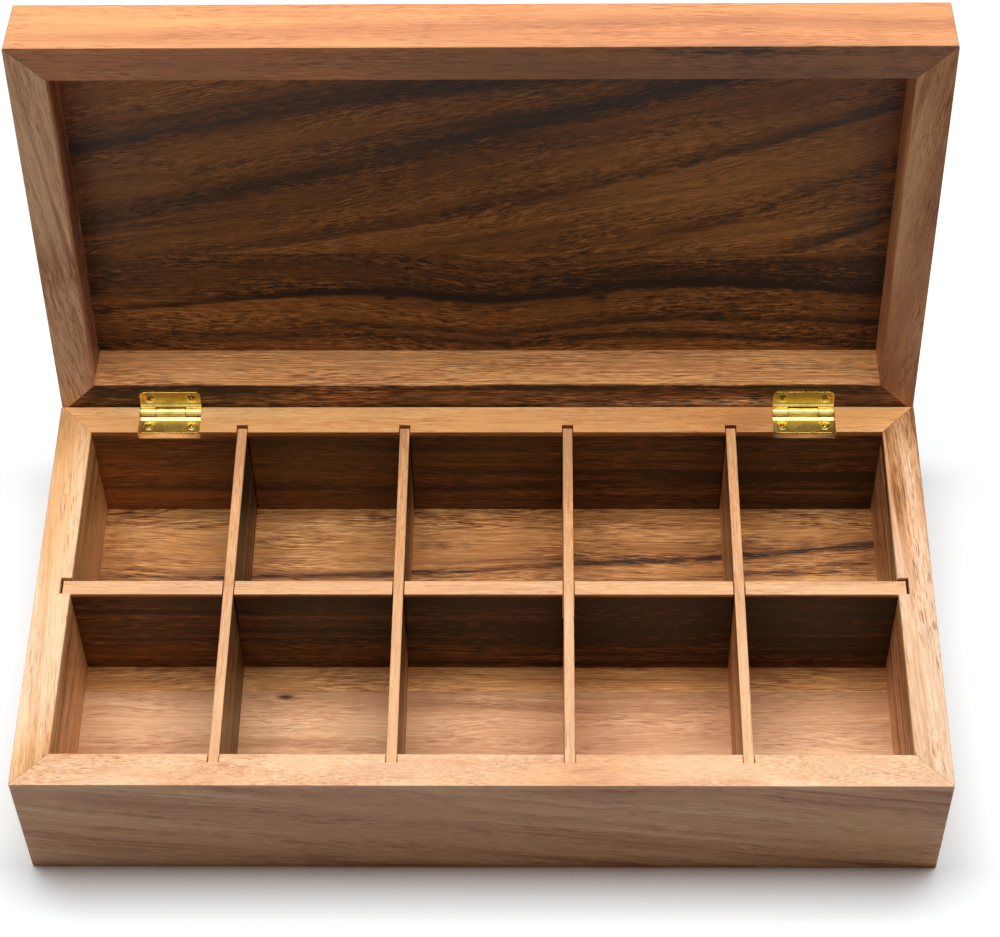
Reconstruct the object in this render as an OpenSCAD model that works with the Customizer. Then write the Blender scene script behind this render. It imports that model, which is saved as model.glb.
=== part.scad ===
// Hinged wooden tea box: a mitred base with lift-out dividers and a mitred, panelled lid.
// Origin: centre of the flat underside. +X right, +Y back, +Z up. Millimetres.
// The lid is drawn fully open, leaning on the back wall; its own modules draw it shut
// and open_lid() swings them back about the hinge pins.

/* [Box] */
// Width of the box, left to right
box_w = 356; // [340:1:380]
// Depth of the box, front to back
box_d = 184; // [160:1:220]
// Height of the base, underside to rim
base_h = 61.5; // [50:0.5:90]
// Height of the lid, rim to top
lid_h = 28.5; // [22:0.5:40]

/* [Boards] */
// Thickness of the four base walls
wall_t = 14; // [12:0.5:18]
// Width of the four lid rails
rail_t = 14.5; // [12:0.5:18]
// Thickness of the floor panel
floor_t = 8.4; // [5:0.1:12]
// Thickness of the lid panel
panel_t = 6.1; // [4:0.1:9]
// How far each panel is let into the boards around it
rabbet = 5; // [3:0.5:7]
// Gap around each panel in its rabbet
panel_play = 0.15; // [0.1:0.05:0.5]
// Radius of the base's rear top edge, which lets the lid swing past it
back_ease = 1.4; // [1.3:0.1:2]

/* [Dividers] */
// Thickness of the long divider, which runs left to right
long_t = 6.6; // [5:0.1:8]
// Thickness of the cross dividers, which run front to back
cross_t = 4; // [3:0.1:6]
// Spacing of the four cross dividers
cross_pitch = 67.6; // [60:0.1:70]
// How far the divider tops lie below the rim
divider_drop = 1; // [0:0.1:5]
// Depth of the long divider's slots in the end walls
long_slot_depth = 4.4; // [3:0.1:7]
// Depth of the cross dividers' slots in the front and back walls
cross_slot_depth = 3.8; // [3:0.1:7]
// Width of the long divider's slots beyond its thickness
long_slot_play = 1; // [0.6:0.1:1.5]
// Width of the cross dividers' slots beyond their thickness
cross_slot_play = 0.6; // [0.5:0.1:1.2]

/* [Hinges] */
// Distance of each hinge's middle from the middle of the box
hinge_x = 132; // [100:1:140]
// Width of a hinge
hinge_w = 25.4; // [20:0.1:32]
// Length of a leaf, from the pin to its far edge
leaf_len = 10.1; // [9:0.1:11]
// Thickness of a leaf
leaf_t = 1; // [0.8:0.1:1.2]
// How far each leaf is bent towards the pin beside the knuckles
swage = 0.5; // [0.2:0.1:0.6]
// Diameter of the knuckles
knuckle_d = 3.7; // [3.4:0.1:3.8]
// Width of the middle knuckle, which belongs to the base leaf
middle_knuckle_w = 12.2; // [8:0.1:15]
// Diameter of the hinge pin
pin_d = 1.8; // [1.4:0.1:2]
// Depth of the pin below the rim, half the thickness of the folded hinge
pin_drop = 2.05; // [2.05:0.05:2.2]
// How far the lid opens
open_angle = 98.2; // [92:0.1:105]

/* [Screws] */
// Distance between a leaf's two screws
screw_spacing = 17.7; // [14:0.1:19]
// Distance of the screws from the hinge pin
screw_reach = 6.6; // [6:0.1:7]
// Diameter of a screw head
screw_head_d = 4.6; // [4:0.1:5]
// Diameter of a screw's shank
screw_d = 2; // [1.6:0.1:2.2]
// Length of a screw under its leaf
screw_len = 8; // [6:0.5:10]

/* [Hidden] */
$fn = 48;

honey = [0.80, 0.56, 0.34];
tan_wood = [0.72, 0.47, 0.28];
walnut = [0.38, 0.24, 0.15];
amber = [0.78, 0.50, 0.24];
brass = [0.80, 0.64, 0.28];
dark_brass = [0.66, 0.50, 0.22];

FRONT = 0;
RIGHT = 1;
BACK = 2;
LEFT = 3;

rest_gap = 0.2;                         // left under the shut lid and under each divider
notch_play = 0.8;                       // width of a half-lap notch beyond its divider
cut = 1;                                // how far a cutter passes the face it cuts
fit = 0.03;                             // radial clearance around a pin or a screw
knuckle_gap = 0.25;                     // between neighbouring knuckles, and leaf to knuckle
bend_start = -3.8;                      // where a leaf's bend starts and ends, from the pin
bend_end = -2.2;
bend_steps = 8;
long_y = -0.25;                         // the long divider stands against the front of its slots
cross_y = -0.3;                         // and the cross dividers against the front of theirs
long_end_gap = 1;                       // end play of the long divider, each end
cross_end_gap = 0.8;                    // and of the cross dividers

inner_w = box_w - 2 * wall_t;
inner_d = box_d - 2 * wall_t;
divider_z = floor_t + rest_gap;
divider_h = base_h - divider_drop - divider_z;
lap_z = divider_z + divider_h / 2;      // where the half-laps of the dividers meet
cross_x = [for (i = [-1.5:1:1.5]) i * cross_pitch];

pin_y = box_d / 2 - pin_drop / tan(open_angle / 2);
pin_z = base_h - pin_drop;
mortise_w = hinge_w + 0.4;
mortise_depth = 2 * pin_drop;
screw_x = [-screw_spacing / 2, screw_spacing / 2];

// ---- shared shapes ----

// Moves a board drawn as the front one to any side of the box.
module on_side(side) {
    reach = side % 2 == 0 ? box_d / 2 : box_w / 2;
    rotate(90 * side) translate([0, -reach, 0]) children();
}

// A board with mitred ends and a rabbet along its lower inner edge.
// Its outer face lies on y = 0, and it is as long as that side of the box.
module mitred_board(side, thick, height, rabbet_h) {
    half = side % 2 == 0 ? box_w / 2 : box_d / 2;
    lip = thick - rabbet;
    section = [[0, 0], [lip, 0], [lip, rabbet_h], [thick, rabbet_h], [thick, height], [0, height]];
    intersection() {
        rotate([90, 0, 90]) linear_extrude(2 * half, center = true) polygon(section);
        linear_extrude(height)
            polygon([[-half, 0], [half, 0], [half - thick, thick], [thick - half, thick]]);
    }
}

// A slot down a base wall, open at the rim, at x along the front board.
module wall_slot(x, slot_w, slot_depth) {
    translate([x - slot_w / 2, wall_t - slot_depth, floor_t])
        cube([slot_w, slot_depth + cut, base_h]);
}

// One base wall, before its own slots and mortises.
module base_wall(side) {
    difference() {
        on_side(side) mitred_board(side, wall_t, base_h, floor_t);
        back_edge_round();
    }
}

// What rounding takes off the base's rear top edge, over the whole width of the box.
module back_edge_round() {
    translate([0, box_d / 2 - back_ease, base_h - back_ease]) rotate([90, 0, 90])
        linear_extrude(box_w + 2 * cut, center = true) difference() {
            square(back_ease + cut);
            circle(back_ease);
        }
}

// One lid rail with the lid shut: a board turned over, its rabbet on top.
module lid_rail(side) {
    translate([0, 0, base_h + rest_gap + lid_h]) mirror([0, 0, 1])
        on_side(side) mitred_board(side, rail_t, lid_h, panel_t);
}

// A panel that fills the rabbets of a frame of boards.
module panel(board_t, thick) {
    margin = 2 * (board_t - rabbet + panel_play);
    translate([0, 0, thick / 2]) cube([box_w - margin, box_d - margin, thick], center = true);
}

// Swings the shut lid's shapes back to the fully open lid.
module open_lid() {
    translate([0, pin_y, pin_z]) rotate([-open_angle, 0, 0]) translate([0, -pin_y, -pin_z])
        children();
}

// Places a hinge part, drawn about its pin.
module at_hinge(x) {
    translate([x, pin_y, pin_z]) children();
}

// ---- base ----

module base_front_wall() {
    color(tan_wood) difference() {
        base_wall(FRONT);
        on_side(FRONT) for (x = cross_x) wall_slot(x, cross_t + cross_slot_play, cross_slot_depth);
    }
}

module base_back_wall() {
    color(honey) difference() {
        base_wall(BACK);
        on_side(BACK) for (x = cross_x) wall_slot(x, cross_t + cross_slot_play, cross_slot_depth);
        for (x = [-hinge_x, hinge_x]) {
            translate([x - mortise_w / 2, box_d / 2 - wall_t - cut, base_h - mortise_depth])
                cube([mortise_w, wall_t + 2 * cut, mortise_depth + cut]);
            at_hinge(x) screw_holes();
        }
    }
}

module base_left_wall() {
    color(honey) difference() {
        base_wall(LEFT);
        on_side(LEFT) wall_slot(0, long_t + long_slot_play, long_slot_depth);
    }
}

module base_right_wall() {
    color(tan_wood) difference() {
        base_wall(RIGHT);
        on_side(RIGHT) wall_slot(0, long_t + long_slot_play, long_slot_depth);
    }
}

module base_floor() {
    color(tan_wood) panel(wall_t, floor_t);
}

// ---- dividers ----

module long_divider() {
    length = inner_w + 2 * (long_slot_depth - long_end_gap);
    notch_w = cross_t + notch_play;
    color(honey) difference() {
        translate([-length / 2, long_y - long_t / 2, divider_z]) cube([length, long_t, divider_h]);
        for (x = cross_x) translate([x - notch_w / 2, long_y - long_t, lap_z])
            cube([notch_w, 2 * long_t, divider_h]);
    }
}

module cross_divider(i) {
    length = inner_d + 2 * cross_slot_depth - cross_end_gap + 2 * cross_y;
    front = -inner_d / 2 - cross_slot_depth - cross_y;
    notch_w = long_t + notch_play;
    color(honey) difference() {
        translate([cross_x[i - 1] - cross_t / 2, front, divider_z])
            cube([cross_t, length, divider_h]);
        translate([cross_x[i - 1] - cross_t, long_y - notch_w / 2, divider_z - cut])
            cube([2 * cross_t, notch_w, lap_z + rest_gap - divider_z + cut]);
    }
}

// ---- lid ----

module lid_front_rail() {
    color(amber) open_lid() lid_rail(FRONT);
}

module lid_back_rail() {
    color(tan_wood) open_lid() difference() {
        lid_rail(BACK);
        for (x = [-hinge_x, hinge_x]) at_hinge(x) lid_side() screw_holes();
    }
}

module lid_left_rail() {
    color(tan_wood) open_lid() lid_rail(LEFT);
}

module lid_right_rail() {
    color(tan_wood) open_lid() lid_rail(RIGHT);
}

module lid_panel() {
    color(walnut) open_lid() translate([0, 0, base_h + rest_gap + lid_h - panel_t])
        panel(rail_t, panel_t);
}

// ---- hinges, drawn about the pin with the base leaf reaching forward below it ----

// Turns a shape of the base leaf into that of the shut lid leaf, against the lid's rim.
module lid_side() {
    translate([0, 0, rest_gap]) mirror([0, 0, 1]) children();
}

// Outline of a leaf with rounded outer corners, cut back from the other leaf's knuckles.
module leaf_outline(corner_r = 2) {
    translate([-hinge_w / 2, corner_r - leaf_len]) square([hinge_w, leaf_len - corner_r]);
    translate([corner_r - hinge_w / 2, -leaf_len]) square([hinge_w - 2 * corner_r, leaf_len]);
    for (side = [-1, 1]) translate([side * (hinge_w / 2 - corner_r), corner_r - leaf_len])
        circle(corner_r);
}

// Side view of a leaf from its seat up, y along it from the pin: flat, then an S-shaped rise
// that ends at the knuckles.
module leaf_section() {
    bend = [for (t = [0 : 1 / bend_steps : 1])
        [bend_start + t * (bend_end - bend_start), swage * t * t * (3 - 2 * t)]];
    under = concat([[-leaf_len, 0]], bend, [[0, swage]]);
    n = len(under) - 1;
    polygon(concat(under, [for (i = [0 : n]) under[n - i] + [0, leaf_t]]));
}

// A leaf with two countersunk holes, its seat pin_drop below the pin.
module leaf_plate() {
    translate([0, 0, -pin_drop]) difference() {
        intersection() {
            rotate([90, 0, 90]) linear_extrude(hinge_w, center = true) leaf_section();
            linear_extrude(leaf_t + swage) leaf_outline();
        }
        for (x = screw_x) translate([x, -screw_reach, 0])
            cylinder(h = leaf_t, d1 = screw_d + 2 * fit, d2 = screw_head_d + 4 * fit);
    }
}

// A length of knuckle from x0 to x1, solid.
module knuckle(x0, x1) {
    translate([x0, 0, 0]) rotate([0, 90, 0]) cylinder(h = x1 - x0, d = knuckle_d);
}

// Clearance around another leaf's knuckle, from x0 to x1, on both sides of the pin.
module knuckle_clearance(x0, x1) {
    reach = knuckle_d / 2 + knuckle_gap;
    translate([x0, -reach, -knuckle_d]) cube([x1 - x0, 2 * reach, 2 * knuckle_d]);
}

module pin_bore() {
    rotate([0, 90, 0]) cylinder(h = hinge_w + 2 * cut, d = pin_d + 2 * fit, center = true);
}

module base_leaf() {
    edge = middle_knuckle_w / 2;
    difference() {
        union() {
            leaf_plate();
            knuckle(-edge, edge);
        }
        knuckle_clearance(-hinge_w / 2 - cut, -edge);
        knuckle_clearance(edge, hinge_w / 2 + cut);
        pin_bore();
    }
}

module lid_leaf() {
    edge = middle_knuckle_w / 2 + knuckle_gap;
    difference() {
        union() {
            lid_side() leaf_plate();
            knuckle(-hinge_w / 2, -edge);
            knuckle(edge, hinge_w / 2);
        }
        knuckle_clearance(-edge, edge);
        pin_bore();
    }
}

module hinge_pin() {
    rotate([0, 90, 0]) cylinder(h = hinge_w, d = pin_d, center = true);
}

module left_hinge_base_leaf() {
    color(brass) at_hinge(-hinge_x) base_leaf();
}

module left_hinge_lid_leaf() {
    color(brass) open_lid() at_hinge(-hinge_x) lid_leaf();
}

module left_hinge_pin() {
    color(dark_brass) at_hinge(-hinge_x) hinge_pin();
}

module right_hinge_base_leaf() {
    color(brass) at_hinge(hinge_x) base_leaf();
}

module right_hinge_lid_leaf() {
    color(brass) open_lid() at_hinge(hinge_x) lid_leaf();
}

module right_hinge_pin() {
    color(dark_brass) at_hinge(hinge_x) hinge_pin();
}

// ---- screws, drawn where the base leaf's screws stand ----

// A countersunk wood screw with a cross recess, its head flush with the leaf.
module screw() {
    recess_w = 0.7;
    recess_l = 2.6;
    recess_h = 0.6;
    translate([0, 0, -pin_drop]) difference() {
        union() {
            cylinder(h = leaf_t, d1 = screw_d, d2 = screw_head_d);
            translate([0, 0, screw_d - screw_len]) cylinder(h = screw_len - screw_d, d = screw_d);
            translate([0, 0, -screw_len]) cylinder(h = screw_d, d1 = 0.4, d2 = screw_d);
        }
        for (size = [[recess_l, recess_w], [recess_w, recess_l]])
            translate([-size[0] / 2, -size[1] / 2, leaf_t - recess_h])
                cube([size[0], size[1], recess_h + cut]);
    }
}

module leaf_screws() {
    for (x = screw_x) translate([x, -screw_reach, 0]) screw();
}

// Holes in the wood for one leaf's screws.
module screw_holes() {
    for (x = screw_x) translate([x, -screw_reach, -pin_drop - screw_len - fit])
        cylinder(h = screw_len + cut, d = screw_d + 2 * fit);
}

module base_hinge_screws() {
    color(brass) for (x = [-hinge_x, hinge_x]) at_hinge(x) leaf_screws();
}

module lid_hinge_screws() {
    color(brass) open_lid() for (x = [-hinge_x, hinge_x]) at_hinge(x) lid_side() leaf_screws();
}

base_front_wall();
base_back_wall();
base_left_wall();
base_right_wall();
base_floor();
long_divider();
cross_divider(1);  // cross_divider_1
cross_divider(2);  // cross_divider_2
cross_divider(3);  // cross_divider_3
cross_divider(4);  // cross_divider_4
lid_front_rail();
lid_back_rail();
lid_left_rail();
lid_right_rail();
lid_panel();
left_hinge_base_leaf();
left_hinge_lid_leaf();
left_hinge_pin();
right_hinge_base_leaf();
right_hinge_lid_leaf();
right_hinge_pin();
base_hinge_screws();
lid_hinge_screws();
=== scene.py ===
import math
from collections import namedtuple

import bmesh
import bpy
from mathutils import Matrix, Vector


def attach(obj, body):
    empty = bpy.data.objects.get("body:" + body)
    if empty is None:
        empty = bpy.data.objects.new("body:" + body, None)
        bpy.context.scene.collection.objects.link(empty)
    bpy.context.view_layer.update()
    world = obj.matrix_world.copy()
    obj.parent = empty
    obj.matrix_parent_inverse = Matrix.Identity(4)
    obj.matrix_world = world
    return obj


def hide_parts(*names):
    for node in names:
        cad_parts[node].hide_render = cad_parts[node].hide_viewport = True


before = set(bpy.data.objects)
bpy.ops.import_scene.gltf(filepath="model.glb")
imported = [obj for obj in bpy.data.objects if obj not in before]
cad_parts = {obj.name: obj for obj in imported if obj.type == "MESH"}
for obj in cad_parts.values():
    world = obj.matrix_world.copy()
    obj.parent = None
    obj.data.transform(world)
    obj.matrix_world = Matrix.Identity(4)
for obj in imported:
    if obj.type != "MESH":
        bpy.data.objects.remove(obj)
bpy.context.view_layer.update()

# ---- Base walls ----
# Four acacia boards 14 mm thick, mitred at the corners and glued, with the floor let into
# them. They are slotted for the dividers, and the back one is let in for the hinges. Their
# edges are eased by hand and the whole box has one thin coat of satin oil.
MM = 0.001
BOX_W, BOX_D, BASE_H, WALL_T = 356, 184, 61.5, 14
ARRIS, SLOT_EDGE, OUTER_R = 0.55, 0.25, 0.9
LONG_EDGE, NEAR = 20, 0.05


class Field:
    """One number, vector or colour that varies over a surface. Arithmetic adds Math nodes."""

    def __init__(self, tree, socket=None):
        self.tree, self.socket = tree, socket

    def node(self, kind, settings=(), inputs=(), output=0):
        """Adds any shader node: its settings first, then what goes into its sockets."""
        made = self.tree.nodes.new("ShaderNode" + kind)
        for name, value in dict(settings).items():
            if name == "stops":
                stops = made.color_ramp.elements
                stops.remove(stops[-1])
                stops[0].position, stops[0].color = value[0]
                for position, colour in value[1:]:
                    stops.new(position).color = colour
            else:
                setattr(made, name, value)
        for name, value in dict(inputs).items():
            if isinstance(value, Field):
                self.tree.links.new(value.socket, made.inputs[name])
            else:
                made.inputs[name].default_value = value
        return Field(self.tree, made.outputs[output] if made.outputs else None)

    def math(self, operation, *values):
        """Adds the Math node that does this with the values, each a number or a field."""
        return self.node("Math", {"operation": operation}, enumerate(values))

    def __add__(self, other):
        return self.math("ADD", self, other)

    def __sub__(self, other):
        return self.math("SUBTRACT", self, other)

    def __rsub__(self, other):
        return self.math("SUBTRACT", other, self)

    def __mul__(self, other):
        return self.math("MULTIPLY", self, other)

    def __truediv__(self, other):
        return self.math("DIVIDE", self, other)

    def __pow__(self, other):
        return self.math("POWER", self, other)

    __radd__, __rmul__ = __add__, __mul__

    def __abs__(self):
        return self.math("ABSOLUTE", self)

    def step(self, low, high):
        """0 below low, 1 above high, and a smooth rise between them."""
        return self.node("MapRange", {"interpolation_type": "SMOOTHSTEP"},
                         {"Value": self, "From Min": low, "From Max": high})

    def bell(self):
        """1 at zero, falling away on both sides."""
        return self.math("EXPONENT", self * self * -1)

    def point(self, *xyz):
        """A vector with these three numbers or fields in it."""
        return self.node("CombineXYZ", (), enumerate(xyz))

    def noise(self, where, detail=2.0, rough=0.5, warp=0.0):
        """Noise from 0 to 1, with specks about one unit of where across."""
        return self.node("TexNoise", {"noise_dimensions": "3D"},
                         {"Vector": where, "Scale": 1.0, "Detail": detail,
                          "Roughness": rough, "Distortion": warp})

    def tinted(self, tint, amount):
        """This colour, multiplied by the tint as far as the amount says."""
        return self.node("Mix", {"data_type": "RGBA", "blend_type": "MULTIPLY"},
                         {0: amount, 6: self, 7: tint}, output=2)


def srgb(red, green, blue):
    """A colour as the eye sees it, 0 to 255, in the linear form the shader takes."""
    levels = [c / 255 for c in (red, green, blue)]
    return (*[c / 12.92 if c <= 0.04045 else ((c + 0.055) / 1.055) ** 2.4 for c in levels], 1)


def bare_material(name):
    """A material with no nodes yet, and the field that they are added through."""
    material = bpy.data.materials.new(name)
    material.use_nodes = True
    material.node_tree.nodes.clear()
    return material, Field(material.node_tree)


# What can be seen in a board, in mm on it. A band is a streak of heartwood, or painted shade
# that darkens a board's faces in shade below its lit top, or its rim: its height at the left,
# middle and right of BAND_SPAN, half-width above and below, strength at the left and right,
# and the strip it keeps to, if it keeps to one. A patch is a knot, a cloud or painted shade,
# and a pale one where dark is negative. A seam is the glue line where the next strip begins,
# with how much darker that one is and its tint. A swell is where its grain rises over a knot.
Band = namedtuple("Band", "left middle right above below first last strip", defaults=[None])
Patch = namedtuple("Patch", "along across half_length half_width dark")
Seam = namedtuple("Seam", "height darker tint")
Swell = namedtuple("Swell", "along half_length height")
BAND_SPAN = 320
BLUSH_TINT, PORE_TINT = (0.80, 0.66, 0.70, 1), (0.50, 0.32, 0.26, 1)
MITRE_TINT, GLUE_TINT, JOINT_W = (0.45, 0.38, 0.34, 1), (0.6, 0.5, 0.45, 1), (0.05, 0.3)
OIL_COAT = 0.06


def acacia(name, grain, tones, seed=0.0, slope=(0, 0), lean=0, heart=0.4, clouds=0.3,
           streak=0.5, fine=1.0, pores=0.5, figure=0.2, blush=0.3, wander=3.0, bands=(),
           patches=(), seams=(), lively=0, swell=None, turned=None, mitred=True):
    """Oiled acacia. grain says how the board lies: its length, face and depth as axes of the
    box, and slope and lean how far it climbs across and into the board for each mm along.
    tones go from sapwood to the darkest streaks. heart is how dark the board is, clouds and
    streak are how much that varies over it and from one growth line to the next, and wander
    is how far the grain strays. fine, pores, figure and blush are how strong the fine grain,
    the open pores, the curl and the rosy tinge are, and lively is how much stronger the fine
    grain grows from strip to strip. turned undoes the lid's turn, so that the grain is drawn
    on the shut lid. mitred boards show the line of the joint at their ends."""
    material, board = bare_material(name)
    where = board.node("TexCoord", output="Object")
    if turned:
        angle, pivot = turned
        where = board.node("Mapping", (), {
            "Vector": where, "Rotation": (angle, 0, 0),
            "Location": pivot - Matrix.Rotation(angle, 3, "X") @ pivot})
    where = board.node("VectorMath", {"operation": "SCALE"}, {0: where, "Scale": 1 / MM})
    axes = {axis: board.node("SeparateXYZ", (), {0: where}, output=axis) for axis in "XYZ"}
    along, across, deep = [axes[axis] for axis in grain]

    # The strips of a glued-up panel, and the lie of the grain in each of them.
    seams = [Seam(*seam) for seam in seams]
    past = [across.math("GREATER_THAN", across, seam.height) for seam in seams]
    strip = sum(past, start=0)
    fine = strip * lively + fine
    darker = sum((over * seam.darker for over, seam in zip(past, seams)), start=heart)
    shift, run = strip * 61.7 + seed * 37.3, along + (strip * 211 + seed * 173)
    rise = along * (strip * (slope[1] - slope[0]) + slope[0]) if any(slope) else 0
    sway = (board.noise(board.point(run / 95, across / 34 + shift, deep / 34)) - 0.5) * wander
    curl = (board.noise(board.point(run / 7, across / 4 + shift, deep / 4)) - 0.5) * figure
    inward = deep + along * lean + seed if lean else deep + seed
    bent = across
    if swell:
        bump = ((along - swell.along) / swell.half_length).bell()
        bent = across - bump * strip * swell.height
    height = bent + rise + sway * 4 + curl * 2

    def fibre(length, width, detail=2.0, rough=0.5, warp=0.0):
        """Noise around zero, drawn out along the grain. Its specks are that size in mm."""
        return board.noise(board.point(run / length, (height + shift) / width,
                                       inward / width), detail, rough, warp) - 0.5

    # How dark the wood is: broad zones, growth lines, fine dashes, streaks, patches and painted
    # shade.
    zone = fibre(420, 24, 1.0)
    growth = fibre(260, 4.6, 2.0, 0.5)
    lines = fibre(110, 1.6, 2.0, 0.6)
    rich = fibre(46, 9, 2.0).step(-0.14, 0.16) * 0.75 + 0.25
    hair = fibre(26, 0.55, 3.0, 0.7)
    dash = fibre(8, 0.7, 2.0, 0.65)
    mottle = fibre(3.4, 1.5, 2.0, 0.6, 0.5) * rich
    calm = fibre(120, 15, 1.0).step(-0.16, 0.14)
    brown = zone * (3.0 * clouds) + (growth * 2.4 + lines * 1.1) * (calm * streak)
    brown = brown + dash * rich * (fine * 1.1) + mottle * (1.6 * figure) + darker
    # Bands are heartwood streaks, and some are painted shade on faces in shade.
    for band in [Band(*values) for values in bands]:
        bend = ((band.left + band.right) / 2 - band.middle) / (BAND_SPAN / 2) ** 2
        centre = along * ((band.right - band.left) / BAND_SPAN) + along * along * bend
        off = bent + sway * 2.2 + curl * 3 - (centre + band.middle)
        above, below = off.math("MAXIMUM", off, 0), off.math("MINIMUM", off, 0)
        off = above / band.above + below / band.below
        depth = along * ((band.last - band.first) / BAND_SPAN) + (band.first + band.last) / 2
        if band.strip is not None:
            depth = depth * strip.math("COMPARE", strip, band.strip, 0.1)
        brown = brown + off.bell() * (growth * 0.6 + dash * 0.5 + 1.0) * depth
    for patch in [Patch(*values) for values in patches]:
        off = (((along - patch.along) / patch.half_length) ** 2
               + ((across - patch.across) / patch.half_width) ** 2)
        brown = brown + off.math("EXPONENT", off * -1) * patch.dark

    # The colour: the tones, each strip's tint, a rosy blush, fine shading and open pores.
    stops = zip((0.0, 0.36, 0.72, 1.0), [srgb(*tone) for tone in tones])
    colour = brown.node("ValToRGB", {"stops": list(stops)}, {0: brown})
    for over, seam in zip(past, seams):
        colour = colour.tinted((*seam.tint, 1), over)
    if blush:
        warm = fibre(70, 11, 2.0).step(-0.04, 0.16) * blush
        colour = colour.tinted(BLUSH_TINT, warm)
    shade = hair * fine + mottle * figure + 1
    colour = colour.tinted(board.point(shade, shade, shade), 1.0)
    pore = fibre(8, 0.42, 1.0, 0.7).step(0.04, 0.24) * (rich * pores)
    colour = colour.tinted(PORE_TINT, pore)

    # The lines where boards and strips meet.
    if mitred:
        joint = abs(abs(axes["X"]) - BOX_W / 2 - abs(axes["Y"]) + BOX_D / 2)
        colour = colour.tinted(MITRE_TINT, (1 - joint.step(*JOINT_W)) * 0.7)
    for seam in seams:
        line = 1 - abs(across - seam.height).step(*JOINT_W)
        colour = colour.tinted(GLUE_TINT, line * 0.5)

    relief = board.node("Bump", (), {"Strength": 0.3, "Distance": 0.0001,
                                     "Height": hair + growth * 0.4 - pore})
    shader = board.node("BsdfPrincipled", (), {
        "Base Color": colour, "Roughness": hair * 0.25 + pore * 0.2 + 0.45, "Normal": relief,
        "Specular IOR Level": 0.3, "Coat Weight": OIL_COAT, "Coat Roughness": 0.3})
    board.node("OutputMaterial", (), {"Surface": shader})
    return material


def eased(node, rule, corners=(), shutting=None):
    """The board as modelled, with its edges eased. rule(a, b) gives the width, in mm, that
    the edge from a to b is eased by, in the shut box. corners are the upright outer corners
    that the board shares with its neighbour, rounded once the two are glued. shutting is the
    turn that shuts the lid, for a board of it."""
    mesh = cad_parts[node].data.copy()
    work = bmesh.new()
    work.from_mesh(mesh)
    bmesh.ops.remove_doubles(work, verts=work.verts, dist=1e-6)
    bmesh.ops.dissolve_limit(work, angle_limit=math.radians(1), verts=work.verts,
                             edges=work.edges)
    if shutting:
        work.transform(shutting)
    ease = work.edges.layers.float.new("bevel_weight_edge")
    for edge in work.edges:
        if edge.calc_face_angle(0) > math.radians(30) and edge.calc_length() > 1.2 * MM:
            edge[ease] = rule(*[vertex.co / MM for vertex in edge.verts])
    work.to_mesh(mesh)
    work.free()
    mesh.materials.clear()
    made = bpy.data.objects.new(node, mesh)
    bpy.context.collection.objects.link(made)
    bevel = made.modifiers.new("Eased edges", "BEVEL")
    bevel.limit_method, bevel.width, bevel.segments = "WEIGHT", MM, 3
    bevel.use_clamp_overlap = False
    done = bpy.data.meshes.new_from_object(
        made.evaluated_get(bpy.context.evaluated_depsgraph_get()))
    made.modifiers.clear()
    made.data = done
    work = bmesh.new()
    work.from_mesh(done)
    for side_x, side_y in corners:
        middle = Vector((side_x * (BOX_W / 2 - OUTER_R), side_y * (BOX_D / 2 - OUTER_R), 0)) * MM
        for turn in (15, 30, 45, 60, 75):
            out = Vector((side_x * math.cos(math.radians(turn)),
                          side_y * math.sin(math.radians(turn)), 0))
            cut = bmesh.ops.bisect_plane(
                work, geom=[*work.verts, *work.edges, *work.faces], clear_outer=True,
                plane_co=middle + out * (OUTER_R * MM), plane_no=out)
            rim = [part for part in cut["geom_cut"] if isinstance(part, bmesh.types.BMEdge)]
            if len(rim) > 2:
                bmesh.ops.contextual_create(work, geom=rim)
    bmesh.ops.recalc_face_normals(work, faces=work.faces)
    if shutting:
        work.transform(shutting.inverted())
    work.to_mesh(done)
    work.free()
    return made


def fit(piece, name, body, slot, material, *nodes):
    """Names a finished piece, gives it its finish and sets it on the body that carries it."""
    piece.name = piece.data.name = name
    piece.data.materials.clear()
    piece.data.materials.append(material)
    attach(piece, body)
    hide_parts(*nodes)


def in_mitre(a, b):
    """Whether the edge from a to b lies in a mitred joint."""
    return all(abs(abs(p.x) - abs(p.y) - (BOX_W - BOX_D) / 2) < 0.01 for p in (a, b))


def inset(point, margin):
    """Whether a point lies more than that margin, in mm, inside the box's outline."""
    return abs(point.x) < BOX_W / 2 - margin and abs(point.y) < BOX_D / 2 - margin


def wall_rule(a, b):
    """The rim and the outer foot are eased most, then the rim's short edges and the slots'
    upright ones. Mitred joints and edges against other pieces stay sharp."""
    at_rim = max(a.z, b.z) > BASE_H - NEAR
    if in_mitre(a, b):
        return 0
    if min(a.z, b.z) > BASE_H - NEAR:
        return ARRIS if (a - b).length > LONG_EDGE else SLOT_EDGE
    if max(a.z, b.z) < NEAR and not (inset(a, 0.1) or inset(b, 0.1)):
        return ARRIS
    upright = abs(a.x - b.x) + abs(a.y - b.y) < 0.01
    inner = inset(a, WALL_T - NEAR) and inset(b, WALL_T - NEAR)
    return SLOT_EDGE if at_rim and upright and inner else 0


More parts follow.
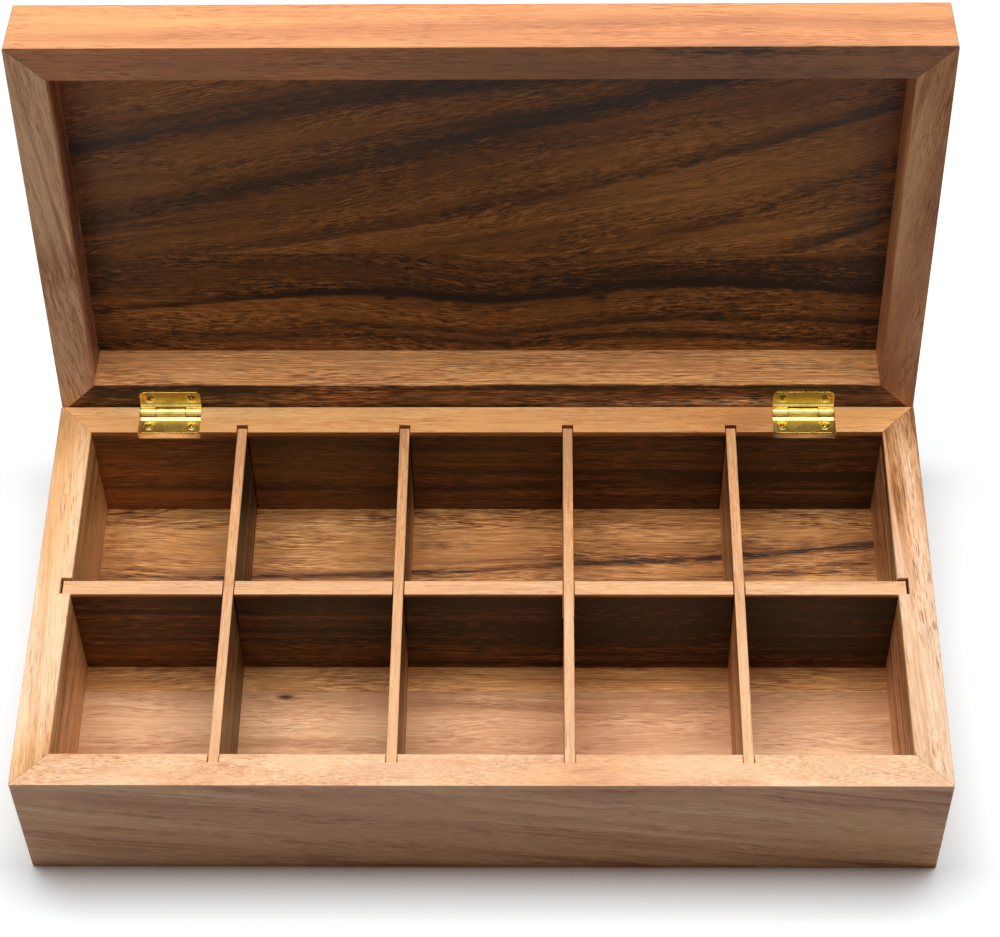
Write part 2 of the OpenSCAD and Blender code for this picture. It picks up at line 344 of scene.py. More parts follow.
HONEY = [(253, 212, 168), (236, 175, 124), (168, 94, 47), (60, 40, 24)]
GOLD = [(255, 206, 138), (238, 166, 98), (148, 104, 60), (52, 38, 18)]
ROSY = [(246, 210, 174), (226, 172, 124), (158, 98, 38), (60, 44, 22)]
STRAW = [(254, 214, 170), (236, 176, 116), (160, 105, 46), (60, 44, 22)]
# The first band of each wall is painted shade: it darkens the wall's faces below the lit rim.
walls = {
    "front": ("XZY", [(-1, -1), (1, -1)], "tan_wood",
              dict(tones=HONEY, seed=1.3, heart=0.2, clouds=0.2, streak=0.42, pores=0.8, fine=0.9,
                   slope=(0.16, 0), blush=0.4, bands=[(58, 58, 58, 1.6, 90, 0.14, 0.28)],
                   patches=[(46, 61, 30, 6, 0.22), (134, 61, 34, 6, -0.06)])),
    "back": ("XZY", [(-1, 1), (1, 1)], "honey_wood",
             dict(tones=GOLD, seed=4.1, heart=0.24, clouds=0.2, streak=0.2, pores=0.8, fine=0.7,
                  wander=1, bands=[(58, 58, 58, 1.2, 140, 0.42, 0.72),
                                   (10, 24, 31, 3, 3, 0.0, 0.2)],
                  patches=[(-132, 57.8, 16, 1, -0.5), (132, 57.8, 16, 1, -0.6),
                           (112, 61, 26, 5, 0.22), (-110, 61, 40, 5, -0.06)])),
    "left": ("YZX", [(-1, -1), (-1, 1)], "honey_wood",
             dict(tones=STRAW, seed=7.7, heart=0.08, clouds=0.25, streak=0.4, pores=0.9, fine=0.8,
                  wander=1, lean=0.05, bands=[(58, 58, 58, 1.6, 90, 0.3, 0.42)],
                  patches=[(84, 61, 20, 6, 0.36), (44, 61, 40, 6, 0.22), (-34, 61, 22, 6, -0.08),
                           (-86, 61, 18, 6, 0.36)])),
    "right": ("YZX", [(1, -1), (1, 1)], "tan_wood",
              dict(tones=ROSY, seed=9.2, heart=0.2, clouds=0.3, streak=0.8, pores=1.5, fine=1.1,
                   wander=1, lean=0.05, blush=0.5,
                   bands=[(58, 58, 58, 1.6, 90, 0.4, 0.4), (20, 20, 20, 0.8, 0.8, 0.2, 0.2)],
                   patches=[(86, 61, 20, 6, 0.46), (44, 61, 20, 6, 0.32),
                            (-20, 61, 50, 6, -0.06)])),
}
for side, (grain, corners, slot, look) in walls.items():
    wood = acacia(f"acacia_base_{side}", grain, **look)
    fit(eased(f"base_{side}_wall", wall_rule, corners), f"base_{side}_wall_wood", "base",
        slot, wood, f"base_{side}_wall")

# ---- Floor ----
# A panel glued up from three acacia strips, let into the rabbet under the walls. The middle
# one is darker heartwood, with a long dark streak that slants across it.
PANEL_EDGE = 0.3


def panel_rule(a, b):
    """Every edge of a panel is eased alike."""
    return PANEL_EDGE


FLOOR_TONES = [(234, 184, 138), (196, 140, 94), (134, 86, 50), (62, 36, 24)]
GOLDEN = (1.0, 0.89, 0.6)
floor_wood = acacia(
    "acacia_floor", "XYZ", FLOOR_TONES, seed=2.6, heart=0.2, clouds=0.3, streak=0.35,
    fine=0.9, pores=0.8, figure=0.25, blush=0.05, lively=1.1, mitred=False,
    seams=((-15.5, 0.12, GOLDEN), (67.2, -0.1, (1, 1, 1))),
    bands=[(41, 46.5, 58.5, 1.6, 1.5, 0.34, 0.55), (42, 48, 62, 6, 4, 0.06, 0.2),
           (30, 34, 50, 2, 3, 0.25, 0.3), (24, 22, 38, 1.2, 4, 0.1, 0.25)],
    patches=[(-81.8, -18.1, 2.9, 1.2, 0.8), (-120, -50, 70, 30, 0.06),
             (120, -50, 70, 30, -0.14), (20, 40, 60, 30, 0.08)])
fit(eased("base_floor", panel_rule), "base_floor_wood", "base", "tan_wood", floor_wood,
    "base_floor")

# ---- Long divider ----
# A thin acacia board that drops into slots in the two end walls. Half-lap notches in its top
# take the cross dividers.
DIVIDER_EDGE, NOTCH_EDGE = 0.35, 0.2


def divider_rule(a, b):
    """The long edges are eased more than those of the ends and the notches."""
    return DIVIDER_EDGE if (a - b).length > LONG_EDGE else NOTCH_EDGE


DIVIDER_TONES = [(248, 204, 157), (226, 166, 112), (136, 92, 48), (29, 17, 4)]
long_wood = acacia("acacia_long_divider", "XZY", DIVIDER_TONES, seed=5.5, heart=0.2,
                   clouds=0.15, streak=0.16, pores=0.7, fine=0.8, wander=1, mitred=False,
                   # This band is painted shade: it darkens the divider's faces below its lit top.
                   bands=[(58, 58, 58, 1.2, 140, 0.74, 0.86)],
                   patches=[(130, 58, 60, 6, 0.08), (-110, 58, 60, 6, -0.06)])
fit(eased("long_divider", divider_rule), "long_divider_wood", "long_divider", "honey_wood",
    long_wood, "long_divider")

# ---- Cross dividers ----
# Four thinner boards that drop into slots in the front and back walls, notched from below to
# sit over the long divider.
# For each divider, the first number is the strength of a band of painted shade on its faces below
# the lit top, and the last that of a painted shade over its back end.
for number, streak, heart, painted_back_shade in ((1, 0.62, 0.16, 0.2), (2, 0.64, 0.08, 0.2),
                                       (3, 0.08, 0.14, 0.34), (4, 0.46, 0.13, 0.2)):
    cross_wood = acacia(f"acacia_cross_divider_{number}", "YZX", DIVIDER_TONES,
                        seed=11 + 2.7 * number, heart=heart, clouds=0.2, streak=0.35,
                        pores=0.7, fine=0.6, wander=1, mitred=False,
                        patches=[(60, 58, 60, 30, painted_back_shade)],
                        bands=[(58, 58, 58, 1.2, 90, streak, streak)])
    fit(eased(f"cross_divider_{number}", divider_rule), f"cross_divider_{number}_wood",
        f"cross_divider_{number}", "honey_wood", cross_wood, f"cross_divider_{number}")

# ---- Hinges ----
# Two small butt hinges of polished brass. Each leaf is one bent strip, 1 mm thick, rolled
# round a 1.8 mm pin: the base leaf makes the middle knuckle and the lid leaf the outer two.
HINGE_X, HINGE_W, LEAF_LEN, LEAF_T, LEAF_CORNER_R = 132, 25.4, 10.1, 1.0, 2.0
KNUCKLE_R, BORE_R, MIDDLE_W, KNUCKLE_GAP, ROLL_SEAM = 1.85, 0.93, 12.2, 0.25, 0.1
PIN_DROP, PIN_R, PEEN_R, PEEN_LEN, LEAF_EDGE = 2.05, 0.9, 0.25, 0.2, 0.1
SWAGE, SWAGE_FROM, SWAGE_RUN, FLAT_END = 0.5, -3.8, 1.6, -2.1
OPEN_ANGLE = math.radians(98.2)
REST_GAP = 0.2
PIN = Vector((0, BOX_D / 2 - PIN_DROP / math.tan(OPEN_ANGLE / 2), BASE_H - PIN_DROP)) * MM
SCREW_X, SCREW_Y, HOLE_R, SINK_R = 8.85, -6.6, 1.03, 2.36


def arc(radius, start, end, steps):
    """Points from one angle to another round the pin, as (y, z)."""
    turns = [start + (end - start) * step / steps for step in range(steps + 1)]
    return [(radius * math.cos(turn), radius * math.sin(turn)) for turn in turns]


def strip_outline(seat):
    """Side views of a leaf whose seat lies that far below the pin: the flat part with its
    bend, how many of its points are on the underside, and the roll that carries on from it
    round the pin."""
    bend = [(SWAGE_FROM + SWAGE_RUN * t / 8, SWAGE * (t / 8) ** 2 * (3 - t / 4))
            for t in range(9)]
    low, high = SWAGE - seat, SWAGE - seat + LEAF_T
    under = [(-LEAF_LEN, -seat), *[(y, rise - seat) for y, rise in bend], (FLAT_END, low)]
    over = [(y, z + LEAF_T) for y, z in reversed(under)]
    outside = arc(KNUCKLE_R, math.pi + math.asin(-low / KNUCKLE_R),
                  3 * math.pi - math.asin((high + ROLL_SEAM) / KNUCKLE_R), 64)
    inside = arc(BORE_R, 3 * math.pi + math.asin((-high - ROLL_SEAM) / BORE_R),
                 math.pi + math.asin(-high / BORE_R), 48)
    return under + over, len(under), outside + inside


def leaf(seat, knuckles):
    """A leaf about its pin, reaching towards -Y below it. knuckles are the lengths, along
    the pin, over which the strip is rolled."""
    outline, turn, roll = strip_outline(seat)
    rounding = [LEAF_CORNER_R * math.sin(math.radians(step * 11.25)) for step in range(9)]
    reach = HINGE_W / 2 - LEAF_CORNER_R
    stations = sorted({round(side * (reach + out), 4) for out in rounding for side in (-1, 1)}
                      | {edge for span in knuckles for edge in span})
    work = bmesh.new()
    flats, rolls = [], []
    for x in stations:
        past = max(abs(x) - reach, 0)
        across = math.sqrt(max(LEAF_CORNER_R ** 2 - past ** 2, 0))
        far = -LEAF_LEN + LEAF_CORNER_R - across
        ring = [(far if y == -LEAF_LEN else y, z) for y, z in outline]
        flats.append([work.verts.new((x, y, z)) for y, z in ring])
        rolls.append([work.verts.new((x, y, z)) for y, z in roll]
                     if any(a <= x <= b for a, b in knuckles) else [])
    for i in range(len(stations) - 1):
        rolled = any(a <= stations[i] and stations[i + 1] <= b for a, b in knuckles)
        ring_a, ring_b = flats[i], flats[i + 1]
        for j, (a, b) in enumerate(zip(ring_a, ring_a[1:] + ring_a[:1])):
            if rolled and j == turn - 1:
                continue
            k = (j + 1) % len(ring_a)
            work.faces.new((a, b, ring_b[k], ring_b[j]))
        if rolled:
            loop_a = [ring_a[turn - 1], *rolls[i], ring_a[turn]]
            loop_b = [ring_b[turn - 1], *rolls[i + 1], ring_b[turn]]
            for j in range(len(loop_a) - 1):
                work.faces.new((loop_a[j], loop_a[j + 1], loop_b[j + 1], loop_b[j]))
    for i in (0, -1):
        work.faces.new(flats[i])
    for span in knuckles:
        for edge in span:
            i = stations.index(edge)
            work.faces.new([flats[i][turn - 1], *rolls[i], flats[i][turn]])
    bmesh.ops.recalc_face_normals(work, faces=work.faces)
    mesh = bpy.data.meshes.new("leaf")
    work.to_mesh(mesh)
    work.free()
    return mesh


def turned_shape(points, steps=48):
    """A closed shape turned about Z from (radius, height) points, first and last on the axis."""
    work = bmesh.new()
    rings = []
    for radius, height in points:
        if radius == 0:
            rings.append([work.verts.new((0, 0, height))])
        else:
            rings.append([work.verts.new((radius * math.cos(2 * math.pi * i / steps),
                                          radius * math.sin(2 * math.pi * i / steps), height))
                          for i in range(steps)])
    for low, high in zip(rings, rings[1:]):
        for i in range(steps):
            k = (i + 1) % steps
            corners = [low[i % len(low)], low[k % len(low)], high[k % len(high)],
                       high[i % len(high)]]
            work.faces.new(list(dict.fromkeys(corners)))
    bmesh.ops.recalc_face_normals(work, faces=work.faces)
    mesh = bpy.data.meshes.new("turned")
    work.to_mesh(mesh)
    work.free()
    return mesh


def finished(mesh, ease=0.0, cutters=()):
    """An object from that mesh with its sharp edges eased and the cutters taken out of it."""
    made = bpy.data.objects.new("part", mesh)
    bpy.context.collection.objects.link(made)
    if ease:
        bevel = made.modifiers.new("Eased edges", "BEVEL")
        bevel.limit_method, bevel.angle_limit = "ANGLE", math.radians(40)
        bevel.width, bevel.segments = ease, 2
    tools = []
    for cutter in cutters:
        tools.append(bpy.data.objects.new("cutter", cutter))
        bpy.context.collection.objects.link(tools[-1])
        cut = made.modifiers.new("Cut", "BOOLEAN")
        cut.operation, cut.solver, cut.object = "DIFFERENCE", "EXACT", tools[-1]
    done = bpy.data.meshes.new_from_object(
        made.evaluated_get(bpy.context.evaluated_depsgraph_get()))
    made.modifiers.clear()
    made.data = done
    for tool in tools:
        bpy.data.objects.remove(tool)
    done.shade_smooth()
    done.set_sharp_from_angle(angle=math.radians(12))
    return made


def brass(name, base, worn, rough):
    """Polished brass: fine rubbing marks, a little tarnish and a few dull spots. base and
    worn are its bright and its dull colour, and rough is how rough it is where bright."""
    material, metal = bare_material(name)
    where = metal.node("VectorMath", {"operation": "SCALE"},
                       {0: metal.node("TexCoord", output="Object"), "Scale": 1 / MM})
    x, y, z = [metal.node("SeparateXYZ", (), {0: where}, output=axis) for axis in "XYZ"]
    cloud = metal.noise(metal.point(x / 5, y / 4, z / 4), 3, 0.6)
    rub = metal.noise(metal.point(x / 6, y / 0.12, z / 0.12), 2, 0.5)
    spots = metal.noise(metal.point(x / 0.7, y / 0.7, z / 0.7), 2, 0.6).step(0.62, 0.75)
    dull = cloud.step(0.42, 0.68) * 0.6 + spots * 0.35
    colour = metal.node("Mix", {"data_type": "RGBA"},
                        {0: dull, 6: srgb(*base), 7: srgb(*worn)}, output=2)
    relief = metal.node("Bump", (), {"Strength": 0.12, "Distance": 0.00002,
                                     "Height": rub + cloud * 0.5})
    shader = metal.node("BsdfPrincipled", (), {
        "Base Color": colour, "Metallic": 1.0, "Normal": relief,
        "Roughness": dull * 0.16 + rub * 0.08 + rough})
    metal.node("OutputMaterial", (), {"Surface": shader})
    return material


leaf_brass = brass("polished_brass", (232, 204, 116), (184, 154, 80), 0.17)
pin_brass = brass("pin_brass", (216, 186, 112), (170, 138, 76), 0.22)
lid_turn = Matrix.Translation(PIN) @ Matrix.Rotation(-OPEN_ANGLE, 4, "X")
countersink = [(0, -2), (HOLE_R, -2), (HOLE_R, 0), (SINK_R, LEAF_T), (SINK_R, 3), (0, 3)]
half, end = MIDDLE_W / 2, HINGE_W / 2
spans = {"base": [(-half, half)],
         "lid": [(-end, -half - KNUCKLE_GAP), (half + KNUCKLE_GAP, end)]}
for side, centre in (("left", -HINGE_X), ("right", HINGE_X)):
    for body, seat in (("base", PIN_DROP), ("lid", PIN_DROP + REST_GAP)):
        holes = []
        for x in (-SCREW_X, SCREW_X):
            holes.append(turned_shape(countersink))
            holes[-1].transform(Matrix.Translation((x, SCREW_Y, -seat)))
        piece = finished(leaf(seat, spans[body]), LEAF_EDGE, holes)
        if body == "lid":
            piece.data.transform(Matrix.Scale(-1, 4, (0, 0, 1)))
            piece.data.flip_normals()
        place = lid_turn if body == "lid" else Matrix.Translation(PIN)
        piece.data.transform(place @ Matrix.Translation((centre * MM, 0, 0))
                             @ Matrix.Scale(MM, 4))
        fit(piece, f"{side}_hinge_{body}_leaf_rolled", body, "brass", leaf_brass,
            f"{side}_hinge_{body}_leaf")
    pin = finished(turned_shape([
        (0, -end), (PIN_R - PEEN_R, -end), (PIN_R, -end + PEEN_LEN), (PIN_R, end - PEEN_LEN),
        (PIN_R - PEEN_R, end), (0, end)]))
    pin.data.transform(Matrix.Translation(PIN) @ Matrix.Translation((centre * MM, 0, 0))
                       @ Matrix.Rotation(math.radians(90), 4, "Y") @ Matrix.Scale(MM, 4))
    fit(pin, f"{side}_hinge_pin_peened", "base", "brass", pin_brass, f"{side}_hinge_pin")

# ---- Hinge screws ----
# Two brass wood screws in each leaf, with countersunk heads, slightly domed, and a cross
# recess. They are driven until flush and stop at any turn.
HEAD_R, SHANK_R, ROOT_R, SCREW_LEN, PITCH, NECK, POINT_LEN = 2.1, 1.0, 0.72, 8.0, 0.9, 0.7, 2.4
TIP_LEN, TIP_R, DOME = 1.5, 0.25, [(0, 0.2), (0.9, 0.16), (1.6, 0.06), (HEAD_R - 0.06, -0.03)]
RECESS_HALF_LEN, RECESS_HALF_W, RECESS_DEPTH, RECESS_TAPER = 1.25, 0.33, 1.0, 0.55


def threaded_screw():
    """One screw about Z, its leaf's outer face at z = 0, with its cross recess. It is turned
    with rings close together along the thread, which is then cut by moving their points."""
    tip = -LEAF_T - SCREW_LEN
    steps = int((SCREW_LEN - NECK - TIP_LEN) / PITCH * 6)
    profile = [*DOME, (HEAD_R, -0.08), (SHANK_R, -LEAF_T)]
    profile += [(SHANK_R, -LEAF_T - NECK - PITCH * step / 6) for step in range(steps)]
    profile += [(TIP_R, tip + 0.1), (0, tip)]
    mesh = turned_shape(profile, 36)
    for vertex in mesh.vertices:
        x, y, z = vertex.co
        if tip + 0.3 < z < -LEAF_T - NECK + NEAR:
            along = ((z / PITCH) - math.atan2(y, x) / (2 * math.pi)) % 1
            crest = max(0.0, 1 - abs(along - 0.5) * 4)
            taper = min(1.0, (z - tip) / POINT_LEN)
            radius = (ROOT_R + (SHANK_R - ROOT_R) * crest) * taper
            vertex.co = (*Vector((x, y)).normalized() * radius, z)
    cross = []
    for length, width in ((RECESS_HALF_LEN, RECESS_HALF_W), (RECESS_HALF_W, RECESS_HALF_LEN)):
        work = bmesh.new()
        bmesh.ops.create_cube(work, size=2)
        for vertex in work.verts:
            top = vertex.co.z > 0
            shrink = 1.0 if top else RECESS_TAPER
            vertex.co = (vertex.co.x * length * shrink, vertex.co.y * width * shrink,
                         0.5 if top else -RECESS_DEPTH)
        cross.append(bpy.data.meshes.new("cross"))
        work.to_mesh(cross[-1])
        work.free()
    return finished(mesh, 0, cross)


def screw_tree():
    """Sets a screw on every point of the input, each turned by its own amount."""
    tree = bpy.data.node_groups.new("set_screws", "GeometryNodeTree")
    sockets = {}
    for name, kind, value in (("Geometry", "NodeSocketGeometry", None),
                              ("Screw", "NodeSocketObject", None),
                              ("Finish", "NodeSocketMaterial", None),
                              ("Largest turn", "NodeSocketFloat", math.pi / 2),
                              ("Scale", "NodeSocketFloat", MM),
                              ("Seed", "NodeSocketInt", 5)):
        sockets[name] = tree.interface.new_socket(name, in_out="INPUT", socket_type=kind)
        if value is not None:
            sockets[name].default_value = value
    tree.interface.new_socket("Geometry", in_out="OUTPUT", socket_type="NodeSocketGeometry")
    given = tree.nodes.new("NodeGroupInput").outputs
    result = tree.nodes.new("NodeGroupOutput").inputs
    model = tree.nodes.new("GeometryNodeObjectInfo")
    turn = tree.nodes.new("FunctionNodeRandomValue")
    turn.data_type = "FLOAT"
    spin = tree.nodes.new("ShaderNodeCombineXYZ")
    place = tree.nodes.new("GeometryNodeInstanceOnPoints")
    real = tree.nodes.new("GeometryNodeRealizeInstances")
    paint = tree.nodes.new("GeometryNodeSetMaterial")
    link = tree.links.new
    link(given["Screw"], model.inputs["Object"])
    link(given["Largest turn"], turn.inputs[3])
    link(given["Seed"], turn.inputs["Seed"])
    link(turn.outputs[1], spin.inputs["Z"])
    link(given["Geometry"], place.inputs["Points"])
    link(model.outputs["Geometry"], place.inputs["Instance"])
    link(spin.outputs[0], place.inputs["Rotation"])
    link(given["Scale"], place.inputs["Scale"])
    link(place.outputs[0], real.inputs[0])
    link(real.outputs[0], paint.inputs["Geometry"])
    link(given["Finish"], paint.inputs["Material"])
    link(paint.outputs[0], result["Geometry"])
    return tree, {name: socket.identifier for name, socket in sockets.items()}


screw_model = threaded_screw()
tree, inputs = screw_tree()
for body, place, drop, seed in (
        ("base", Matrix.Translation(PIN), PIN_DROP - LEAF_T, 5),
        ("lid", lid_turn @ Matrix.Rotation(math.pi, 4, "Y"), PIN_DROP + REST_GAP - LEAF_T, 8)):
    spots = bpy.data.meshes.new("spots")
    spots.from_pydata([Vector((centre + x, SCREW_Y, -drop)) * MM
                       for centre in (-HINGE_X, HINGE_X) for x in (-SCREW_X, SCREW_X)], [], [])
    screws = bpy.data.objects.new("screws", spots)
    bpy.context.collection.objects.link(screws)
    setter = screws.modifiers.new("Screws", "NODES")
    setter.node_group = tree
    setter[inputs["Screw"]], setter[inputs["Finish"]] = screw_model, leaf_brass
    setter[inputs["Seed"]] = seed
    done = bpy.data.meshes.new_from_object(
        screws.evaluated_get(bpy.context.evaluated_depsgraph_get()))
    screws.modifiers.clear()
    screws.data = done
    done.transform(place)
    fit(screws, f"{body}_hinge_screws_driven", body, "brass", leaf_brass,
        f"{body}_hinge_screws")
bpy.data.objects.remove(screw_model)

# ---- Lid rails ----
# Four acacia boards 14.5 mm wide, mitred like the walls, with the panel let into a rabbet
# round their top. The lid stands fully open, its edge against the back of the back wall.
LID_H = 28.5
LID_TOP = BASE_H + REST_GAP + LID_H
shut = (Matrix.Translation(PIN) @ Matrix.Rotation(OPEN_ANGLE, 4, "X")
        @ Matrix.Translation(-PIN))


def rail_rule(a, b):
    """The rail's rim and its outer top edge are eased. Edges against the panel stay sharp."""
    if in_mitre(a, b):
        return 0
    if max(a.z, b.z) < BASE_H + REST_GAP + NEAR:
        return ARRIS if (a - b).length > LONG_EDGE else SLOT_EDGE
    outer_top = min(a.z, b.z) > LID_TOP - NEAR and not (inset(a, 1) and inset(b, 1))
    return ARRIS if outer_top else 0


AMBER = [(236, 166, 108), (200, 133, 90), (150, 102, 68), (56, 40, 27)]
TAWNY = [(252, 188, 120), (214, 150, 94), (136, 92, 52), (58, 39, 21)]
PALE = [(255, 206, 158), (218, 156, 114), (144, 94, 68), (72, 46, 36)]
FAWN = [(248, 194, 138), (212, 148, 100), (138, 92, 58), (66, 45, 32)]
rails = {
    "front": ("XZY", [(-1, -1), (1, -1)], "amber_wood",
              dict(tones=AMBER, seed=3.1, heart=0.16, clouds=0.25, streak=0.16, pores=0.8,
                   fine=0.9, wander=1, bands=[(66, 77, 78, 4, 6, 0.15, 0.25),
                                              # This band is painted shade on the rail's rim,
                                              # which is in shade with the lid open.
                                              (61.4, 61.4, 61.4, 1, 9, 0.15, 0.64)],
                   patches=[(60, 78, 130, 14, 0.14), (-150, 62, 30, 6, -0.1),
                            (-46, 62, 26, 6, -0.1), (104, 62, 26, 6, 0.1),
                            (170, 62, 12, 6, -0.12)])),
    "back": ("XZY", [(-1, 1), (1, 1)], "tan_wood",
             dict(tones=TAWNY, seed=6.4, heart=0.2, clouds=0.35, streak=0.35, pores=1.8,
                  fine=2.4, blush=0.5, wander=1,
                  # This band is painted shade on the rail's rim, which is in shade with the lid
                  # open.
                  bands=[(61.4, 61.4, 61.4, 1, 9, 0.78, 0.78)])),
    "left": ("YZX", [(-1, -1), (-1, 1)], "tan_wood",
             dict(tones=PALE, seed=8.8, heart=0.02, clouds=0.4, streak=0.7, pores=1.4, fine=1.4,
                  wander=1, lean=-0.12, bands=[(70, 70, 70, 90, 3.5, 0.55, 0.55)],
                  patches=[(-60, 62, 50, 8, -0.1), (24, 62, 13, 4, 0.25),
                           (-30, 62, 26, 6, -0.12), (30, 62, 8, 6, -0.2), (10, 62, 8, 6, 0.08)])),
    "right": ("YZX", [(1, -1), (1, 1)], "tan_wood",
              dict(tones=FAWN, seed=10.9, heart=0.24, clouds=0.4, streak=0.5, pores=1.2,
                   fine=0.9, lean=0.15, patches=[(-74, 62, 18, 8, 0.18), (14, 62, 12, 8, -0.08),
                                                  (74, 62, 16, 8, 0.16)])),
}
for side, (grain, corners, slot, look) in rails.items():
    wood = acacia(f"acacia_lid_{side}", grain, turned=(OPEN_ANGLE, PIN), **look)
    fit(eased(f"lid_{side}_rail", rail_rule, corners, shut), f"lid_{side}_rail_wood", "lid",
        slot, wood, f"lid_{side}_rail")

# ---- Lid panel ----
# Two boards of dark heartwood glued edge to edge. Dark bands slant across the front board,
# and wavy ones run along the one by the hinges.
WALNUT = [(216, 156, 90), (158, 106, 56), (90, 60, 36), (32, 21, 13)]
panel_wood = acacia(
    "acacia_lid_panel", "XYZ", WALNUT, seed=12.5, heart=0.36, clouds=0.3, streak=0.36,
    fine=2.0, pores=1.0, figure=1.0, lively=0.4, swell=Swell(9, 40, 8.5), slope=(0.2, 0.0),
    # The board by the hinges is tinted warmer: partly its own tone, partly a painted warm
    # reflection of the box's inside.
    mitred=False, blush=0.15, seams=((25.0, 0.06, (1, 0.98, 0.92)),), turned=(OPEN_ANGLE, PIN),
    bands=[(-29, -60, -72, 5, 5, 0.5, 0.5, 0), (10, -35, -81, 4, 8, 0.24, 0.7, 0),
           (31, 2, -47, 1.5, 5, 0.36, 0.56, 0), (114, 48, -18, 1.6, 5, 0.0, 0.3, 0),
           (180, 93, 7, 1.6, 6, 0.0, 0.5, 0), (57, 42, 46.5, 1.2, 10, 0.06, 0.4, 1),
           (56.5, 41.5, 46, 0.9, 2.6, 0.44, 0.56, 1), (74, 60, 62.3, 1.0, 3, 0.2, 0.42, 1),
           (76, 66, 74.5, 1.2, 2.5, 0.1, 0.4, 1)],
    patches=[(39.5, 24.8, 2.2, 0.9, 0.6), (-39.7, 48.8, 2.4, 0.9, 0.5), (-19, 49.8, 2, 0.9, 0.5),
             (47, 48.4, 2.6, 1.1, 0.6), (67.8, 48.6, 2.2, 0.9, 0.6), (101, 49.4, 2, 0.8, 0.6),
             (10, -68, 74, 14, 0.26), (90, -12, 56, 22, -0.28), (-130, -62, 40, 20, -0.18),
             (-120, 8, 60, 18, 0.08), (-70, -24, 60, 12, -0.08), (130, 40, 44, 10, 0.1),
             (20, -4, 24, 4, 0.14), (7, -35, 50, 16, 0.12), (124, -50, 44, 9, 0.1),
             # The last two patches are painted shade along the panel's edges beside the side
             # rails.
             (-87, 37, 54, 7, -0.1), (-164, 0, 10, 120, 0.18), (164, 10, 14, 120, 0.24)])
fit(eased("lid_panel", panel_rule, (), shut), "lid_panel_wood", "lid", "walnut_wood",
    panel_wood, "lid_panel")

# ---- Studio ----
# A white table under one wide soft lamp, with a weak light all round. The camera looks down
# on the open box from the front.
SENSOR_W, FOCAL_LENGTH = 36, 95.965
CAMERA_PLACE, LOOKS_DOWN, LOOKS_ASIDE, TILT = (0.02395, -0.61185, 0.92463), 52.142, -1.535, -1.225
WHITE, GREY = (1, 1, 1, 1), (0.5, 0.5, 0.5, 1)
camera_data = bpy.data.cameras.new("camera")
camera_data.sensor_width, camera_data.lens = SENSOR_W, FOCAL_LENGTH
camera = bpy.data.objects.new("camera", camera_data)
bpy.context.collection.objects.link(camera)
pitch, yaw, roll = [math.radians(angle) for angle in (LOOKS_DOWN, LOOKS_ASIDE, TILT)]
ahead = Vector((math.sin(yaw) * math.cos(pitch), math.cos(yaw) * math.cos(pitch),
                -math.sin(pitch)))
level = Vector((math.cos(yaw), -math.sin(yaw), 0))
upright = level.cross(ahead)
right = level * math.cos(roll) + upright * math.sin(roll)
up = upright * math.cos(roll) - level * math.sin(roll)
camera.matrix_world = (Matrix.Translation(CAMERA_PLACE)
                       @ Matrix((right, up, -ahead)).transposed().to_4x4())
scene = bpy.context.scene
scene.camera = camera
scene.view_settings.view_transform = "Standard"


def seen(field):
    """1 for what the camera sees, straight, in a reflection or through glass, and 0 for what
    only lights the box."""
    path = [field.node("LightPath", output=f"Is {kind} Ray")
            for kind in ("Camera", "Glossy", "Transmission")]
    return field.math("MAXIMUM", field.math("MAXIMUM", path[0], path[1]), path[2])


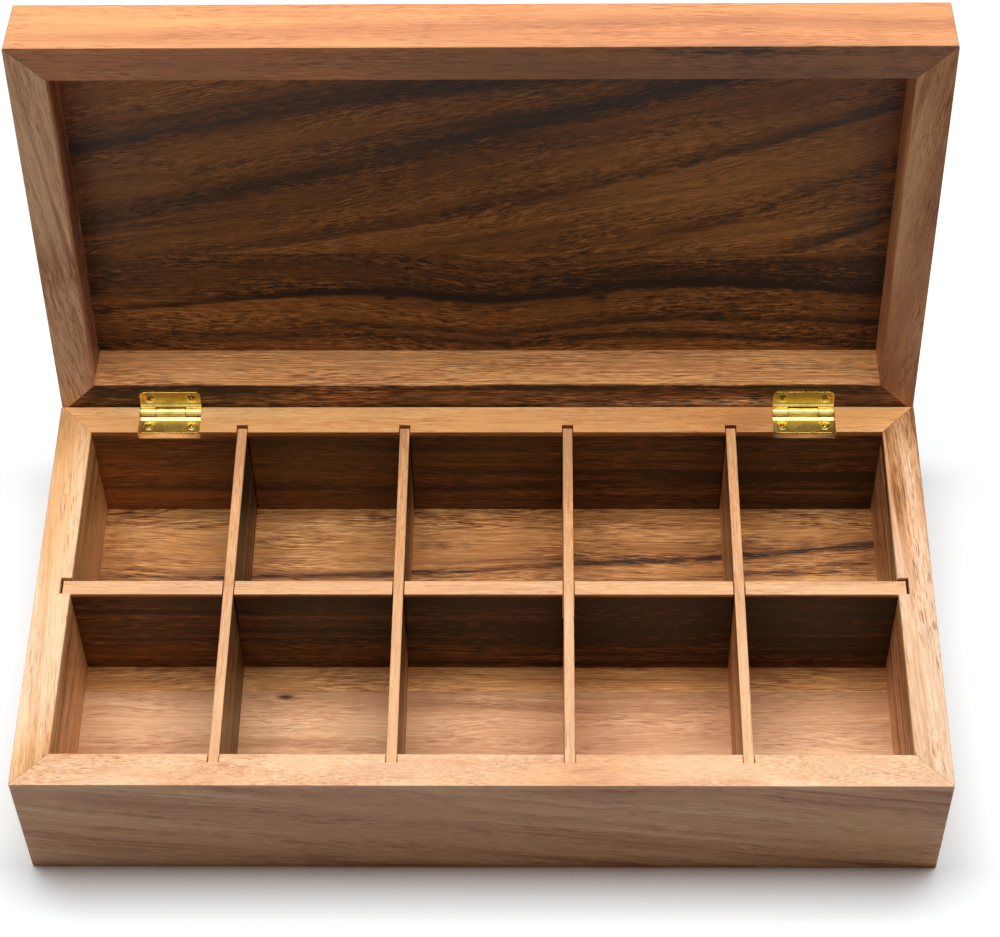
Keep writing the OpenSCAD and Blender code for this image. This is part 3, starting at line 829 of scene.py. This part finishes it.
# The table is grey to the light, so it throws little of it back on the box. To the eye it is
# white, with the box's shadow close by, which fades to plain white far off. Beside the box's
# two ends a painted white light covers most of that shadow, and SHADOW_LIFT brightens the
# table to the eye and cools its shadow.
TABLE_HALF, SHADOW_LIFT = 6, (0.19, 0.235, 0.255, 1)
FAR_OFF, TO_THE_SIDE, SIDE_PAINTED_LIGHT, SHADOW_X = (0.3, 0.6), (0.176, 0.236), 0.85, 0.003
table = bpy.data.meshes.new("table")
table.from_pydata([(-TABLE_HALF, -TABLE_HALF, 0), (TABLE_HALF, -TABLE_HALF, 0),
                   (TABLE_HALF, TABLE_HALF, 0), (-TABLE_HALF, TABLE_HALF, 0)],
                  [], [(0, 1, 2, 3)])
table_top = bpy.data.objects.new("table", table)
bpy.context.collection.objects.link(table_top)
table_paint, white = bare_material("table_white")
plain = white.node("BsdfDiffuse", (), {"Color": GREY})
near = white.node("AddShader", (), {
    0: white.node("BsdfDiffuse", (), {"Color": WHITE}),
    1: white.node("BsdfDiffuse", (), {"Color": SHADOW_LIFT})})
far = white.node("Emission", (), {"Color": WHITE, "Strength": 1.0})
spot = white.node("TexCoord", output="Object")
distance = white.node("VectorMath", {"operation": "LENGTH"}, {0: spot}, output="Value")
sideways = abs(white.node("SeparateXYZ", (), {0: spot}, output="X") - SHADOW_X)
# Far off the table is plain white, and beside the box's ends a painted light covers its shadow.
paler = white.math("MAXIMUM", distance.step(*FAR_OFF), sideways.step(*TO_THE_SIDE) * SIDE_PAINTED_LIGHT)
shown = white.node("MixShader", (), {0: paler, 1: near, 2: far})
white.node("OutputMaterial", (), {"Surface": white.node("MixShader", (), {
    0: seen(white), 1: plain, 2: shown})})
table.materials.append(table_paint)

# The lamp hangs high up, a little behind the box, and the light from all round is faint.
LAMP_W, LAMP_D, LAMP_WATTS, LAMP_PLACE, ALL_ROUND = 1.5, 0.7, 24, (0, 0.26, 1.35), 0.035
world = bpy.data.worlds.new("world")
world.use_nodes = True
world.node_tree.nodes.clear()
sky = Field(world.node_tree)
dim = sky.node("Background", (), {"Color": WHITE, "Strength": ALL_ROUND})
bright = sky.node("Background", (), {"Color": WHITE, "Strength": 1.0})
sky.node("OutputWorld", (), {"Surface": sky.node("MixShader", (), {
    0: seen(sky), 1: dim, 2: bright})})
scene.world = world

lamp_data = bpy.data.lights.new("softbox", "AREA")
lamp_data.shape, lamp_data.size, lamp_data.size_y = "RECTANGLE", LAMP_W, LAMP_D
lamp_data.energy = LAMP_WATTS
lamp = bpy.data.objects.new("softbox", lamp_data)
lamp.location = LAMP_PLACE
bpy.context.collection.objects.link(lamp)
